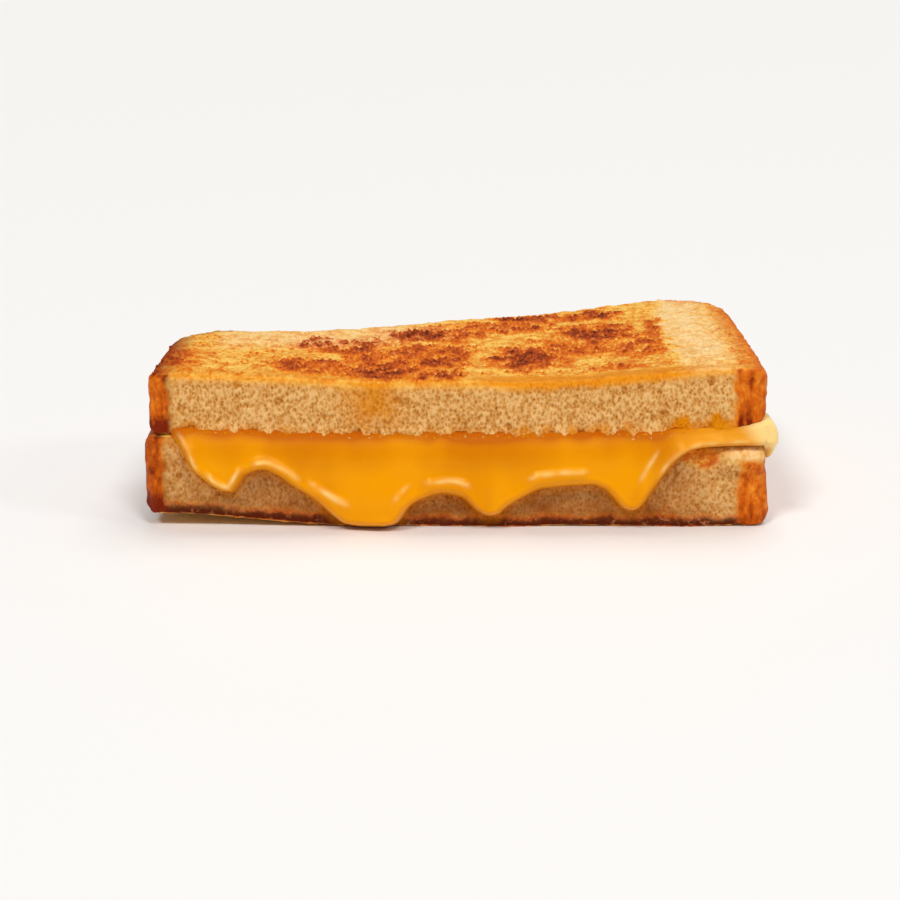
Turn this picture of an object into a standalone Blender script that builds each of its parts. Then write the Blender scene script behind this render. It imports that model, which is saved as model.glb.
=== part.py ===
"""Half of a toasted cheese sandwich, with its cut side facing -Y.

Two half slices of bread hold one sheet of melted cheese, which spills over the
cut side in four drips. X runs along the cut, Y away from it and Z up. The
origin lies on the flat underside of the lower slice. Sizes are in metres.
"""

import bmesh
import bpy
import numpy as np

MM = 0.001

# Driving sizes
CUT_Y = -30 * MM            # plane of the knife cut
UPPER_ENDS = (-60.2 * MM, 60.2 * MM)    # outsides of the end crusts of the upper slice
LOWER_ENDS = (-61.4 * MM, 61.2 * MM)    # and of the lower one
BACK_LEFT = 16.5 * MM       # uncut side at the shallow left end
BACK_RIGHT = 41.5 * MM      # uncut side at the deep right end
LEFT_CORNER = 17 * MM       # plan radius of the loaf's corner at the left
RIGHT_CORNER = 20 * MM      # and at the right
END_TAPER = 0.33            # how far the ends lean in, per metre behind the cut
GAP = 0.3 * MM              # between one layer and the next

# The uncut side runs backwards between these places, partly straight and partly in an S
SPREAD_FROM, SPREAD_TO = -45 * MM, 46 * MM
STRAIGHT_SHARE = 0.6

# Heights of the layers at the middle of the cut
LOWER_THICK = 14.7 * MM
CHEESE_THICK = 4.2 * MM
UPPER_THICK = 10.5 * MM

# The layers rise towards the ends of the cut, between these distances from the middle
RISE_FROM, RISE_TO = 15 * MM, 58 * MM
UNDER_LIFT = 2.6 * MM       # the left end of the underside curls up off the table
LOW_SEAM_RISE = (3.5 * MM, 2.6 * MM)    # top of the lower slice, at the left and right ends
HIGH_SEAM_RISE = (0.9 * MM, 1.0 * MM)   # underside of the upper slice
CORNER_LIFT = 1.5 * MM      # and its right end turns up a little more
CORNER_FROM, CORNER_TO = 54 * MM, 62 * MM
TOP_RISE = (1.8 * MM, 2.9 * MM)         # toasted face
TOP_FALL = (1.6 * MM, 0.4 * MM)         # fall of that face from the cut to the uncut side
SLICE_DEPTH = 70 * MM       # depth over which the toasted face falls by that much
FALL_FULL = 50 * MM         # distance from the middle where it falls in full

# Edges of a slice, rounded by these radii where it is NOMINAL_THICK thick
NOMINAL_THICK = 12 * MM
FRONT_TOP, BACK_TOP, BACK_BOTTOM, FRONT_BOTTOM = 1.6 * MM, 3.4 * MM, 3 * MM, 0.7 * MM
END_EDGE = 2.2 * MM         # rounding of the edges of each end crust
BACK_BULGE = 0.8 * MM       # swelling of the crust along the uncut side

# Cheese
CHEESE_LEFT = -55.8 * MM    # pinched end, between the two slices
OOZE_RIGHT = 62.6 * MM      # cheese squeezed out past the right end crust
OOZE_FROM, OOZE_TO = 61.3 * MM, 61.6 * MM   # where the sheet turns into that ooze
OOZE_DEPTH = 28 * MM        # how far the ooze reaches back from the cut
DROOP = 2.6 * MM            # how far it sags over the lower slice's end
CHEESE_END = 2.1 * MM       # rounding of the cheese's ends
LEFT_PINCH = (0.4, 0.35)    # the left end's rounding along X and across it, as shares of that
THINNING = 0.5              # share of its thickness the curtain loses over the right end crust
FIRST_STEP, CROWDING = 0.03, 1.3    # rows up the curtain start this far up and crowd towards its lower edge
LIP = 3.4 * MM              # how far the curtain of cheese stands off the cut
CURTAIN_GROWS = (-58 * MM, -52 * MM)    # where it starts at the left
CURTAIN_THINS = (44 * MM, 52 * MM)      # and where it thins at the right
LIP_EDGE = 3.2 * MM         # width of the rounded rim along its lower edge
SHOULDER = 4.5 * MM         # height over which it swells out from under the bread
RECESS_BACK = 1.2 * MM      # the cheese stops short of the uncut side
CHEESE_IN = 1 * MM          # and of the curve of the loaf's corners
EDGE_BELOW_SEAM = 0.2 * MM  # the curtain always hangs at least this far below the sheet
SLOPE_STEP = 0.2 * MM       # distance over which the slope of its lower edge is measured

# Lower edge of the cheese along the cut: (x, z) down each drip and over each hollow, in mm
CHEESE_EDGE_MM = [
    (-55.4, 18.2), (-54.2, 16.4), (-52.2, 12.4), (-50.2, 10.4), (-47.3, 8.3), (-45.6, 7.6),
    (-43.9, 7.5), (-42.6, 8.8), (-41.0, 11.1), (-38.0, 12.0), (-35.6, 11.1), (-32.7, 9.0),
    (-28.4, 6.0), (-24.9, 2.9), (-22.0, 0.9), (-18.5, 0.4), (-14.5, 0.4), (-12.2, 0.9),
    (-10.6, 2.3), (-9.4, 4.2), (-7.4, 5.7), (-2.8, 7.0), (0.5, 6.4), (3.0, 4.1), (4.8, 2.9),
    (6.4, 2.5), (8.2, 2.9), (9.8, 4.4), (14.1, 7.0), (16.8, 8.1), (26.2, 8.9), (28.2, 8.3),
    (30.0, 6.6), (32.2, 4.2), (34.0, 3.6), (35.8, 4.2), (38.3, 7.6), (41.5, 12.4),
    (43.6, 14.8), (45.8, 16.0), (50.0, 16.7), (57.5, 17.1),
]

STEPS_ALONG = 30            # stations along a slice, between its rounded ends
STEPS_ROUND = 4             # stations round each end's edge
STEPS_CHEESE = 104          # stations along the cheese


def ramp(x, start, end):
    """0 before start, 1 after end, and a smooth S between them."""
    t = np.clip((x - start) / (end - start), 0, 1)
    return t * t * (3 - 2 * t)


def corner_setback(x, end, radius):
    """How far a rounded corner of the plan draws the back edge in at x."""
    t = np.clip((np.sign(end) * x - (abs(end) - radius)) / radius, 0, 1)
    return radius * (1 - np.sqrt(1 - t * t))


def back_edge(x, ends):
    """Y of the uncut side, which widens to the right in a shallow S."""
    left, right = ends
    straight = np.clip((x - SPREAD_FROM) / (SPREAD_TO - SPREAD_FROM), 0, 1)
    curved = ramp(x, SPREAD_FROM, SPREAD_TO)
    spread = STRAIGHT_SHARE * straight + (1 - STRAIGHT_SHARE) * curved
    y = BACK_LEFT + (BACK_RIGHT - BACK_LEFT) * spread
    return y - corner_setback(x, left, LEFT_CORNER) - corner_setback(x, right, RIGHT_CORNER)


def rise(x, at_ends):
    """How far a layer rises at x, given its rise at the left and right ends."""
    left, right = at_ends
    return left * ramp(-x, RISE_FROM, RISE_TO) + right * ramp(x, RISE_FROM, RISE_TO)


def underside(x, y):
    """Bottom of the lower slice: flat, with the left end curled up."""
    return rise(x, (UNDER_LIFT, 0)) + 0 * y


def seam_low(x, y):
    """Top of the lower slice. Both ends stay thick, the middle is pressed."""
    return LOWER_THICK + rise(x, LOW_SEAM_RISE) + 0 * y


def seam_high(x, y):
    """Underside of the upper slice. It comes down on the lower one at the left."""
    corner = CORNER_LIFT * ramp(x, CORNER_FROM, CORNER_TO)
    return LOWER_THICK + CHEESE_THICK + rise(x, HIGH_SEAM_RISE) + corner + 0 * y


def top_face(x, y):
    """Toasted face: a shallow sag in the middle, lower towards the back left."""
    share = (y - CUT_Y) / SLICE_DEPTH
    fall_left, fall_right = TOP_FALL
    fall = fall_left * ramp(-x, -10 * MM, FALL_FULL) + fall_right * ramp(x, 0, FALL_FULL)
    level = LOWER_THICK + CHEESE_THICK + UPPER_THICK
    return level + rise(x, TOP_RISE) - share * fall


def arc(centre, radius, start_deg, end_deg, steps):
    """Points (y, z) on a round corner of a cross-section."""
    angle = np.radians(np.linspace(start_deg, end_deg, steps))
    return np.column_stack(
        [centre[0] + radius * np.cos(angle), centre[1] + radius * np.sin(angle)]
    )


def slice_section(depth):
    """Closed outline (y, v) of a slice's cross-section of the given depth.

    y runs from 0 at the cut to depth, and v from 0 at the underside to 1 on top.
    The outline starts under the front edge and goes up the cut and back.
    """
    thick = NOMINAL_THICK
    top_y = np.linspace(FRONT_TOP, depth - BACK_TOP, 9)[1:-1]
    bottom_y = np.linspace(depth - BACK_BOTTOM, FRONT_BOTTOM, 7)[1:-1]
    outline = np.concatenate([
        arc((FRONT_BOTTOM, FRONT_BOTTOM), FRONT_BOTTOM, 270, 180, 3),
        arc((FRONT_TOP, thick - FRONT_TOP), FRONT_TOP, 180, 90, 4),
        np.column_stack([top_y, np.full(len(top_y), thick)]),
        arc((depth - BACK_TOP, thick - BACK_TOP), BACK_TOP, 90, 0, 5),
        arc((depth - BACK_BOTTOM, BACK_BOTTOM), BACK_BOTTOM, 0, -90, 5),
        np.column_stack([bottom_y, np.zeros(len(bottom_y))]),
    ])
    return outline[:, 0], outline[:, 1] / thick


def slice_stations(ends):
    """(x, inset) of each station: the inset rounds the edge of each end."""
    left, right = ends
    centre, end = (right + left) / 2, (right - left) / 2
    turn = np.radians(np.linspace(0, 90, STEPS_ROUND + 1))
    rounded_x = end - END_EDGE * (1 - np.sin(turn))
    rounded_inset = END_EDGE * (1 - np.cos(turn))
    # Even steps of a sine bring the stations closer where the corners turn.
    middle = np.sin(np.radians(np.linspace(-76, 76, STEPS_ALONG)))
    middle_x = middle / middle[-1] * (end - END_EDGE)
    x = np.concatenate([-rounded_x[:0:-1], middle_x, rounded_x[1:]])
    inset = np.concatenate([rounded_inset[:0:-1], 0 * middle_x, rounded_inset[1:]])
    return centre + x, inset


def closed_skin(bm, rings):
    """Joins rings of points into one closed skin, with a flat face on each end."""
    loops = [[bm.verts.new(point) for point in ring] for ring in rings]
    for here, after in zip(loops, loops[1:]):
        for k in range(len(here)):
            n = (k + 1) % len(here)
            bm.faces.new((here[k], here[n], after[n], after[k]))
    bm.faces.new(loops[0][::-1])
    bm.faces.new(loops[-1])
    bmesh.ops.recalc_face_normals(bm, faces=bm.faces)


def add_object(name, rings, material):
    """One named, smooth-shaded object from its rings."""
    bm = bmesh.new()
    closed_skin(bm, rings)
    mesh = bpy.data.meshes.new(name)
    bm.to_mesh(mesh)
    bm.free()
    mesh.materials.append(material)
    mesh.shade_smooth()
    mesh.set_sharp_from_angle(angle=np.radians(50))
    obj = bpy.data.objects.new(name, mesh)
    bpy.context.collection.objects.link(obj)
    return obj


def lean_in(x, y):
    """X after the loaf's taper, which draws both ends in behind the cut."""
    return x * (1 - END_TAPER * (y - CUT_Y))


def add_bread(name, low, high, ends, material):
    """A half slice between two height fields, with its crust bulging at the back."""
    rings = []
    for x, inset in zip(*slice_stations(ends)):
        y, v = slice_section(back_edge(x, ends) - CUT_Y - 2 * inset)
        bulge = BACK_BULGE * ramp(y / y.max(), 0.8, 1.0) * 4 * v * (1 - v)
        y = CUT_Y + inset + y + bulge
        z_low = low(x, y) + inset
        z_high = high(x, y) - inset
        z = z_low + (z_high - z_low) * v
        rings.append(np.column_stack([lean_in(x, y), y, z]))
    return add_object(name, rings, material)


def cheese_edge(x):
    """Z of the cheese's lower edge: a smooth curve, level at each tip and hollow."""
    px, pz = np.array(CHEESE_EDGE_MM).T * MM
    step = np.diff(px)
    slope = np.diff(pz) / step
    turns = slope[:-1] * slope[1:] <= 0
    mean = 2 * slope[:-1] * slope[1:] / np.where(turns, 1, slope[:-1] + slope[1:])
    tangent = np.concatenate([[slope[0]], np.where(turns, 0, mean), [0]])
    k = np.clip(np.searchsorted(px, x) - 1, 0, len(step) - 1)
    t = np.clip((x - px[k]) / step[k], 0, 1)
    return (
        (2 * t**3 - 3 * t**2 + 1) * pz[k]
        + (t**3 - 2 * t**2 + t) * step[k] * tangent[k]
        + (3 * t**2 - 2 * t**3) * pz[k + 1]
        + (t**3 - t**2) * step[k] * tangent[k + 1]
    )


def cheese_ring(x, inset):
    """Cross-section of the cheese at x: the sheet, then the curtain over the cut.

    inset narrows the section near the cheese's two ends, where it has no curtain.
    """
    front = CUT_Y - GAP
    past_end = ramp(x, OOZE_FROM, OOZE_TO)
    low = seam_low(x, 0) + GAP + inset - DROOP * past_end
    high = seam_high(x, 0) - GAP - inset
    half = (high - low) / 2
    inside_x = np.clip(x, UPPER_ENDS[0] + CHEESE_IN, UPPER_ENDS[1] - CHEESE_IN)
    back = back_edge(inside_x, UPPER_ENDS) - RECESS_BACK - inset
    back += (CUT_Y + OOZE_DEPTH - back) * past_end
    edge = min(cheese_edge(x), low - EDGE_BELOW_SEAM) if inset < CHEESE_END / 2 else low
    rise_across = cheese_edge(x + SLOPE_STEP) - cheese_edge(x - SLOPE_STEP)
    lean = 1 / np.hypot(1, rise_across / (2 * SLOPE_STEP))

    inner_z = np.linspace(low, edge, 5)[1:]
    inner = np.column_stack([np.full(len(inner_z), front), inner_z])
    outer_z = edge + (high - edge) * np.linspace(FIRST_STEP, 1, 13) ** CROWDING
    rim = np.clip((outer_z - edge) * lean / LIP_EDGE, 0, 1)
    shoulder = np.clip((high - outer_z) / SHOULDER, 0, 1)
    stand = np.sqrt(1 - (1 - rim) ** 2) * np.sqrt(1 - (1 - shoulder) ** 2)
    # The curtain grows from the left end and is half as thick over the right end crust.
    reach = LIP * ramp(x, *CURTAIN_GROWS) * (1 - THINNING * ramp(x, *CURTAIN_THINS))
    outer = np.column_stack([front - (reach - inset / 2) * stand, outer_z])
    sheet_y = np.linspace(front, back - half, 6)
    sheet_top = np.column_stack([sheet_y[1:], np.full(len(sheet_y) - 1, high)])
    rear = arc((back - half, (high + low) / 2), half, 90, -90, 6)[1:-1]
    sheet_low = np.column_stack([sheet_y[::-1], np.full(len(sheet_y), low)])
    y, z = np.concatenate([inner, outer, sheet_top, rear, sheet_low]).T
    return np.column_stack([lean_in(x, y), y, z])


def add_cheese(name, material):
    """The melted cheese, from the pinched left end to the ooze past the right."""
    turn = np.radians([90, 60, 30])
    left_depth, left_inset = LEFT_PINCH[0] * CHEESE_END, LEFT_PINCH[1] * CHEESE_END
    rings = []
    for s in np.sin(turn):
        rings.append(cheese_ring(CHEESE_LEFT + left_depth * (1 - s), left_inset * s))
    for x in np.linspace(CHEESE_LEFT + left_depth, OOZE_RIGHT - CHEESE_END, STEPS_CHEESE):
        rings.append(cheese_ring(x, 0))
    for t in turn[::-1]:
        x = OOZE_RIGHT - CHEESE_END * (1 - np.sin(t))
        rings.append(cheese_ring(x, CHEESE_END * (1 - np.cos(t))))
    return add_object(name, rings, material)


def food(name, colour, roughness):
    """A plain material: its colour as linear RGB, and how rough it is."""
    material = bpy.data.materials.new(name)
    material.use_nodes = True
    shader = material.node_tree.nodes["Principled BSDF"]
    shader.inputs["Base Color"].default_value = (*colour, 1)
    shader.inputs["Roughness"].default_value = roughness
    return material


def build():
    for obj in list(bpy.data.objects):
        bpy.data.objects.remove(obj)
    toast = food("toast", (0.62, 0.33, 0.11), 0.7)
    melt = food("melted_cheese", (0.90, 0.36, 0.01), 0.3)
    add_bread("lower_slice", underside, seam_low, LOWER_ENDS, toast)
    add_bread("upper_slice", seam_high, top_face, UPPER_ENDS, toast)
    add_cheese("cheese", melt)


build()
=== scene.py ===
# Looks of half a toasted cheese sandwich: two pan-fried slices of white bread and the cheese melted
# between them. Shapes are worked out in millimetres, with X along the cut, Y away from it and Z up,
# and go into meshes in metres.
import math
from types import SimpleNamespace

import bpy
import numpy as np
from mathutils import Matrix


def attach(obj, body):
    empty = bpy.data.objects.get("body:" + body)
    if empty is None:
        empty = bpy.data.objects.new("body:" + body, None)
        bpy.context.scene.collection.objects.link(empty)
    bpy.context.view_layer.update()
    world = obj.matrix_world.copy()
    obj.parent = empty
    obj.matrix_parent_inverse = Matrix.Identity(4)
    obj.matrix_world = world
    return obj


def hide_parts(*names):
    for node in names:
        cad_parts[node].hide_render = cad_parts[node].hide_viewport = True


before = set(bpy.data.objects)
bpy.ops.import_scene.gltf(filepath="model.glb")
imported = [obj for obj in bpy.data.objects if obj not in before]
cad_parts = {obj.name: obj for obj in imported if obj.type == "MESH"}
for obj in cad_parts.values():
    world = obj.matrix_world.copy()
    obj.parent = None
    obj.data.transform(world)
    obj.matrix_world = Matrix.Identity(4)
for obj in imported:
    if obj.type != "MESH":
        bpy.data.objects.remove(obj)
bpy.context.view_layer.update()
mm = 0.001

# The sandwich as the solids have it, in mm. A pair is for its left and right ends
sandwich = {
    "cut": -30.0,                # Y of the knife cut
    "upperEnds": (-60.2, 60.2),  # outsides of the end crusts of the upper slice
    "lowerEnds": (-61.4, 61.2),  # and of the lower one
    "backs": (16.5, 41.5),       # Y of the uncut side, at the shallow end and at the deep one
    "spread": (-45, 46),         # that side runs backwards between these places
    "straight": 0.6,             # this share of the run is straight, the rest is an S curve
    "corners": (17.0, 20.0),     # plan radii of the loaf's corners
    "taper": 0.00033,            # how far the ends lean in, per mm behind the cut
    "lower": 14.7,               # thickness of the lower slice in the middle
    "cheese": 4.2,               # of the cheese
    "upper": 10.5,               # and of the upper slice
    "rises": (15, 58),           # the layers rise between these distances from the middle
    "underRise": (2.6, 0),       # rise of the lower slice's underside, whose left end curls up
    "lowRise": (3.5, 2.6),       # of its top
    "highRise": (0.9, 1.0),      # of the upper slice's underside
    "cornerRise": 1.5,           # which turns up a little more in its right corner
    "topRise": (1.8, 2.9),       # and of the toasted face
    "topFall": (1.6, 0.4),       # fall of the toasted face over this depth
    "depth": 70,
    "endEdge": 2.2,              # rounding of the edges of the end crusts
    "edges": (1.6, 3.4, 3.0, 0.7),    # of the front top edge, the back top, back bottom and front bottom
    "bulge": 0.8,                # swelling of the crust along the uncut side
}


def ramp(x, start, end):
    # 0 before start, 1 after end, and a smooth S between them: 3 t^2 - 2 t^3
    t = np.clip((x - start) / (end - start), 0, 1)
    return t * t * (3 - 2 * t)


def lattice(i, j, k, seed):
    # a repeatable number from 0 to 1 for each whole-number place: its products with large odd numbers
    # are added up and mixed by shifts
    h = (i * 374761393 + j * 668265263 + k * 1274126177 + seed * 2246822519) & 0xffffffff
    h = ((h ^ (h >> 15)) * 2146121005) & 0xffffffff
    h = ((h ^ (h >> 13)) * 1103515245) & 0xffffffff
    return (h ^ (h >> 16)) / 0xffffffff


def cell(place, size):
    # which cell of that size a place is in
    return np.floor(place / size).astype(np.int64)


def hills(x, y, z, size, seed):
    # smooth random hills from -1 to 1: lattice numbers at the corners of boxes of that size, blended
    # by S curves
    places = [np.asarray(a, float) / s for a, s in zip((x, y, z), size)]
    whole = [cell(p, 1) for p in places]
    part = [ramp(p - w, 0, 1) for p, w in zip(places, whole)]
    total = 0
    for corner in range(8):
        step = (corner & 1, corner >> 1 & 1, corner >> 2 & 1)
        share = 1
        for t, s in zip(part, step):
            share = share * (t if s else 1 - t)
        total = total + share * lattice(*(w + s for w, s in zip(whole, step)), seed)
    return 2 * total - 1


def rough(x, y, z, layers, seed):
    # hills of several sizes added up: each layer has its height, its size and its draw
    return sum(height * hills(x, y, z, size, seed + draw) for height, size, draw in layers)


def pores(u, w, size, width, seed):
    # round holes, one in each square cell at a random place: depth 1 - (distance / radius)^2, and 0
    # outside them. Their radii are from 0.35 to 1 of half the width
    deepest = np.zeros_like(u)
    i, j = cell(u, size), cell(w, size)
    for di in (-1, 0, 1):
        for dj in (-1, 0, 1):
            a, b = i + di, j + dj
            du = u - (a + lattice(a, b, 0, seed)) * size
            dw = w - (b + lattice(a, b, 1, seed)) * size
            radius = 0.5 * width * (0.35 + 0.65 * lattice(a, b, 2, seed))
            deepest = np.maximum(deepest, 1 - (du * du + dw * dw) / radius**2)
    return deepest


def backEdge(x, ends):
    # Y of the uncut side: a straight line and an S curve mixed, less a quarter circle at each corner
    start, stop = sandwich["spread"]
    shallow, deep = sandwich["backs"]
    straight = sandwich["straight"]
    y = shallow + (deep - shallow) * (straight * np.clip((x - start) / (stop - start), 0, 1)
                                      + (1 - straight) * ramp(x, start, stop))
    for end, radius in zip(ends, sandwich["corners"]):
        t = np.clip((np.sign(end) * x - abs(end) + radius) / radius, 0, 1)
        y = y - radius * (1 - np.sqrt(1 - t * t))
    return y


def rise(x, atEnds):
    # the layers rise towards the ends of the cut
    return atEnds[0] * ramp(-x, *sandwich["rises"]) + atEnds[1] * ramp(x, *sandwich["rises"])


def underside(x, y):
    return rise(x, sandwich["underRise"]) + 0 * y


def seamLow(x, y):
    return sandwich["lower"] + rise(x, sandwich["lowRise"]) + 0 * y


def seamHigh(x, y):
    middle = sandwich["lower"] + sandwich["cheese"]
    return middle + rise(x, sandwich["highRise"]) + sandwich["cornerRise"] * ramp(x, 54, 62) + 0 * y


def topFace(x, y):
    # a shallow sag in the middle, lower towards the back left
    left, right = sandwich["topFall"]
    share = (y - sandwich["cut"]) / sandwich["depth"]
    fall = share * (left * ramp(-x, -10, 50) + right * ramp(x, 0, 50))
    middle = sandwich["lower"] + sandwich["cheese"] + sandwich["upper"]
    return middle + rise(x, sandwich["topRise"]) - fall


def lean(x, y):
    # the loaf's sides taper, so X shrinks with the distance behind the cut
    return x * (1 - sandwich["taper"] * (y - sandwich["cut"]))


def normalsOf(points, quads):
    # each corner's normal: the sum of its faces' normals, which are cross products of their diagonals
    a, b, c, d = (points[quads[:, k]] for k in range(4))
    faceNormal = np.cross(c - a, d - b)
    total = np.zeros_like(points)
    for k in range(4):
        np.add.at(total, quads[:, k], faceNormal)
    return total / np.maximum(np.linalg.norm(total, axis=1, keepdims=True), 1e-12)


def addPiece(name, points, quads, finish, nodeName, notes):
    # one smooth-shaded object at the origin, with its place in its mesh and a number for each point
    # in each note
    mesh = bpy.data.meshes.new(name)
    fan = quads[:, 3] == quads[:, 0]    # a quad that comes back to its first corner is a triangle
    mesh.from_pydata((points * mm).tolist(), [], quads[~fan].tolist() + quads[fan, :3].tolist())
    for note, values in notes.items():
        layer = mesh.attributes.new(note, "FLOAT", "POINT")
        layer.data.foreach_set("value", np.clip(values, 0, 1).astype(np.float32))
    mesh.materials.append(finish)
    mesh.shade_smooth()
    mesh.validate()
    piece = bpy.data.objects.new(name, mesh)
    bpy.context.scene.collection.objects.link(piece)
    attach(piece, "root")
    if nodeName:
        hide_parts(nodeName)
    print(name, len(points), "points", 2 * len(quads) - fan.sum(), "triangles")


def linear(code):
    # an sRGB hex colour as linear light: c / 12.92 for dark values, else ((c + 0.055) / 1.055)^2.4
    parts = [int(code[k:k + 2], 16) / 255 for k in (1, 3, 5)]
    return [p / 12.92 if p <= 0.04045 else ((p + 0.055) / 1.055) ** 2.4 for p in parts] + [1]


def node(tree, kind, feeds=None, stops=None, **settings):
    # adds one node: feeds gives sockets a value, a hex colour or another node's socket, and stops
    # gives a colour ramp its first stop, its last and any between them
    made = tree.nodes.new("ShaderNode" + kind)
    for key, value in settings.items():
        setattr(made, key, value)
    for key, value in (feeds or {}).items():
        if isinstance(value, bpy.types.NodeSocket):
            tree.links.new(value, made.inputs[key])
        else:
            made.inputs[key].default_value = linear(value) if isinstance(value, str) else value
    for k, (place, colour) in enumerate(stops or []):
        steps = made.color_ramp.elements
        step = steps[k] if k < 2 else steps.new(place)
        step.position = place
        step.color = linear(colour)
    return made


def perMm(size):
    # a texture's scale on metre coordinates, for features of that size in mm
    return 1 / (size * mm)


def newFinish(name, notes):
    # a material with no nodes yet but its Object coordinates and the notes that it reads from the mesh
    material = bpy.data.materials.new(name)
    material.use_nodes = True
    tree = material.node_tree
    tree.nodes.clear()
    place = node(tree, "TexCoord").outputs["Object"]
    note = {n: node(tree, "Attribute", attribute_name=n).outputs["Fac"] for n in notes}
    return material, tree, place, note


bread = {
    "crumbHole": "#ac6415",      # shaded holes of the crumb
    "crumb": "#d69448",
    "crumbWallHighlight": "#f4c27c",      # painted highlight on the thin walls between the holes
    "crumbShadeLower": "#a35a22",       # painted shade on the lower slice's crumb under the cheese, partly fat soaked in
    "pale": "#fcdba0",           # toasted face where it hardly touched the pan, also painted light on the lower slice's top right corner
    "paleLow": "#edb052",        # and its grain
    "goldLight": "#f9c75c",
    "gold": "#eca236",
    "orange": "#de6f12",
    "brown": "#b4460f",
    # darkest brown; on the lower slice's burnt edge it is also painted shadow
    "dark": "#541404",
    "crust": "#d26008",
    "crustLight": "#f39328",
    "crustDark": "#7c1c03",
    "butterLow": "#bd5a04",      # fat soaked into the crumb, with painted shade in its holes
    "butter": "#e68c06",         # and on its walls
    "sheen": "#ffd79a",          # its faint gloss is butter's
    "holeSize": 0.6,             # mm, the finest holes that show
    "fibreSize": 0.8,            # mm, torn walls between them
    "grainSize": 0.7,            # mm, grain of the fried face
    "mottleSize": 3.0,           # mm, its paler and browner spots
    "crustSize": 1.1,            # mm, streaks of the crust
}


def pannedBread():
    # pan-fried white bread: matt, porous crumb where cut, and a crisp face with a faint gloss of butter
    material, tree, place, note = newFinish(
        "panFriedWhiteBread", ("crumb", "crust", "char", "butter", "hole", "light", "shade", "low"))

    # crumb: fine holes on the cut, a little taller than wide, over slow changes of tone, with painted shade
    # in the holes and a painted highlight on the walls between them
    upright = node(tree, "Mapping", {"Vector": place, "Scale": (1, 1, 0.7)}).outputs[0]
    holes = node(tree, "TexVoronoi", {
        "Vector": upright, "Scale": perMm(bread["holeSize"]), "Randomness": 1.0,
    }, feature="F1").outputs["Distance"]
    fibre = node(tree, "TexNoise", {
        "Vector": upright, "Scale": perMm(bread["fibreSize"]), "Detail": 5.0, "Roughness": 0.75,
        "Distortion": 0.5}).outputs["Fac"]
    slow = node(tree, "TexNoise", {"Vector": place, "Scale": perMm(4), "Detail": 3.0}).outputs["Fac"]
    wall0 = node(tree, "Math", {0: holes, 1: 0.45}, operation="MULTIPLY").outputs[0]
    wall1 = node(tree, "Math", {0: fibre, 1: 1.0, 2: wall0}, operation="MULTIPLY_ADD").outputs[0]
    wall2 = node(tree, "Math", {0: slow, 1: 0.25, 2: wall1}, operation="MULTIPLY_ADD").outputs[0]
    # the deepest holes take more painted shade
    wall = node(tree, "Math", {0: note["hole"], 1: -0.2, 2: wall2}, operation="MULTIPLY_ADD").outputs[0]
    dryTone = node(tree, "ValToRGB", {"Fac": wall}, stops=[
        (0.5, bread["crumbHole"]), (0.97, bread["crumbWallHighlight"]), (0.74, bread["crumb"])]).outputs["Color"]
    # the note low turns the lower slice's crumb to painted shade
    crumbTone = node(tree, "Mix", {0: note["low"], 6: dryTone, 7: bread["crumbShadeLower"]},
                     data_type="RGBA").outputs[2]

    # fried face: the browner it is, the darker its grain
    deepwise = node(tree, "Mapping", {"Vector": place, "Scale": (1, 0.6, 1)}).outputs[0]
    grain = node(tree, "TexNoise", {
        "Vector": deepwise, "Scale": perMm(bread["grainSize"]), "Detail": 3.0,
        "Roughness": 0.7}).outputs["Fac"]
    mottle = node(tree, "TexNoise", {
        "Vector": place, "Scale": perMm(bread["mottleSize"]), "Detail": 2.0,
        "Roughness": 0.5}).outputs["Fac"]
    grainPart = node(tree, "MapRange", {
        "Value": grain, "From Min": 0.3, "From Max": 0.7, "To Min": -0.22, "To Max": 0.22}).outputs[0]
    mottlePart = node(tree, "MapRange", {
        "Value": mottle, "From Min": 0.3, "From Max": 0.7, "To Min": -0.08, "To Max": 0.26}).outputs[0]
    uneven = node(tree, "Math", {0: grainPart, 1: mottlePart}, operation="ADD").outputs[0]
    fatPart = node(tree, "Math", {0: uneven, 1: -0.7, 2: wall}, operation="MULTIPLY_ADD").outputs[0]
    fatTone = node(tree, "ValToRGB", {"Fac": fatPart}, stops=[
        (0.22, bread["butterLow"]), (0.88, bread["butter"])]).outputs["Color"]
    charPart = node(tree, "Math", {0: uneven, 1: note["char"]}, operation="ADD").outputs[0]
    faceTone = node(tree, "ValToRGB", {"Fac": charPart}, stops=[
        (0.0, bread["goldLight"]), (1.0, bread["dark"]), (0.16, bread["gold"]),
        (0.38, bread["orange"]), (0.68, bread["brown"])]).outputs["Color"]
    palePart = node(tree, "Math", {0: uneven, 1: -0.8, 2: note["light"]}, operation="MULTIPLY_ADD",
                    use_clamp=True).outputs[0]
    paleUneven = node(tree, "Math", {0: uneven, 1: 0.3}, operation="ADD").outputs[0]
    paleTone = node(tree, "ValToRGB", {"Fac": paleUneven}, stops=[
        (0.1, bread["pale"]), (0.75, bread["paleLow"])]).outputs["Color"]
    friedTone = node(tree, "Mix", {0: palePart, 6: faceTone, 7: paleTone}, data_type="RGBA").outputs[2]

    # baked crust: brown with paler, drier high spots
    streak = node(tree, "Mapping", {"Vector": place, "Scale": (1, 1, 0.6)}).outputs[0]
    crustGrain = node(tree, "TexNoise", {
        "Vector": streak, "Scale": perMm(bread["crustSize"]), "Detail": 4.0,
        "Roughness": 0.6}).outputs["Fac"]
    crustPart = node(tree, "Math", {0: note["shade"], 1: -0.72, 2: crustGrain},
                     operation="MULTIPLY_ADD").outputs[0]
    crustTone = node(tree, "ValToRGB", {"Fac": crustPart}, stops=[
        (0.12, bread["crustDark"]), (0.74, bread["crustLight"]), (0.46, bread["crust"])]).outputs["Color"]

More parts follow.
